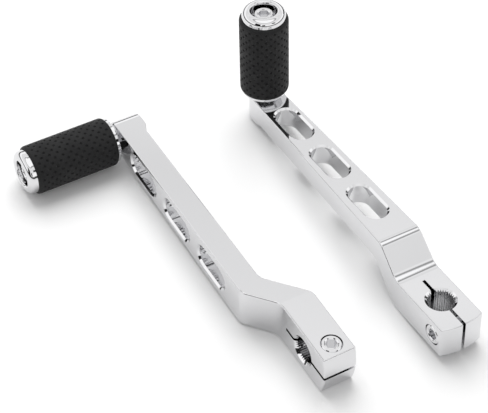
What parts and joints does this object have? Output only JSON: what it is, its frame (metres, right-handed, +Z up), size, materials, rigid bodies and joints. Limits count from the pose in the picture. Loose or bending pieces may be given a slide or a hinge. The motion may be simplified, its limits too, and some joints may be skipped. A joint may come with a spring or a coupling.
{
  "type": "pair of motorcycle shift levers",
  "caption": "Mirror-image pair of chromed foot shift levers with serrated split clamps, slotted offset arms and dimpled rubber pegs.",
  "frame": {"origin": "middle of the pair's box, on the ground plane that both levers lie on", "axes": "+Z up from the ground, +Y along both levers from clamp to peg, +X from the left lever to the right one"},
  "size_m": [0.1756, 0.2428, 0.082],
  "materials": {
    "polished_chrome": "mirror-polished decorative chrome on forged steel",
    "bright_steel": "bright zinc-plated screws and spring washers",
    "black_rubber": "matt black moulded rubber with small staggered dimples"
  },
  "bodies": {
    "root": {"left_lever": "polished_chrome", "left_pinch_bolt": "bright_steel", "left_peg_core": "polished_chrome", "left_peg_rubber": "black_rubber", "left_peg_cap": "polished_chrome", "left_lock_washer": "bright_steel", "left_peg_bolt": "bright_steel", "right_lever": "polished_chrome", "right_pinch_bolt": "bright_steel", "right_peg_core": "polished_chrome", "right_peg_rubber": "black_rubber", "right_peg_cap": "polished_chrome", "right_lock_washer": "bright_steel", "right_peg_bolt": "bright_steel"}
  },
  "joints": []
}
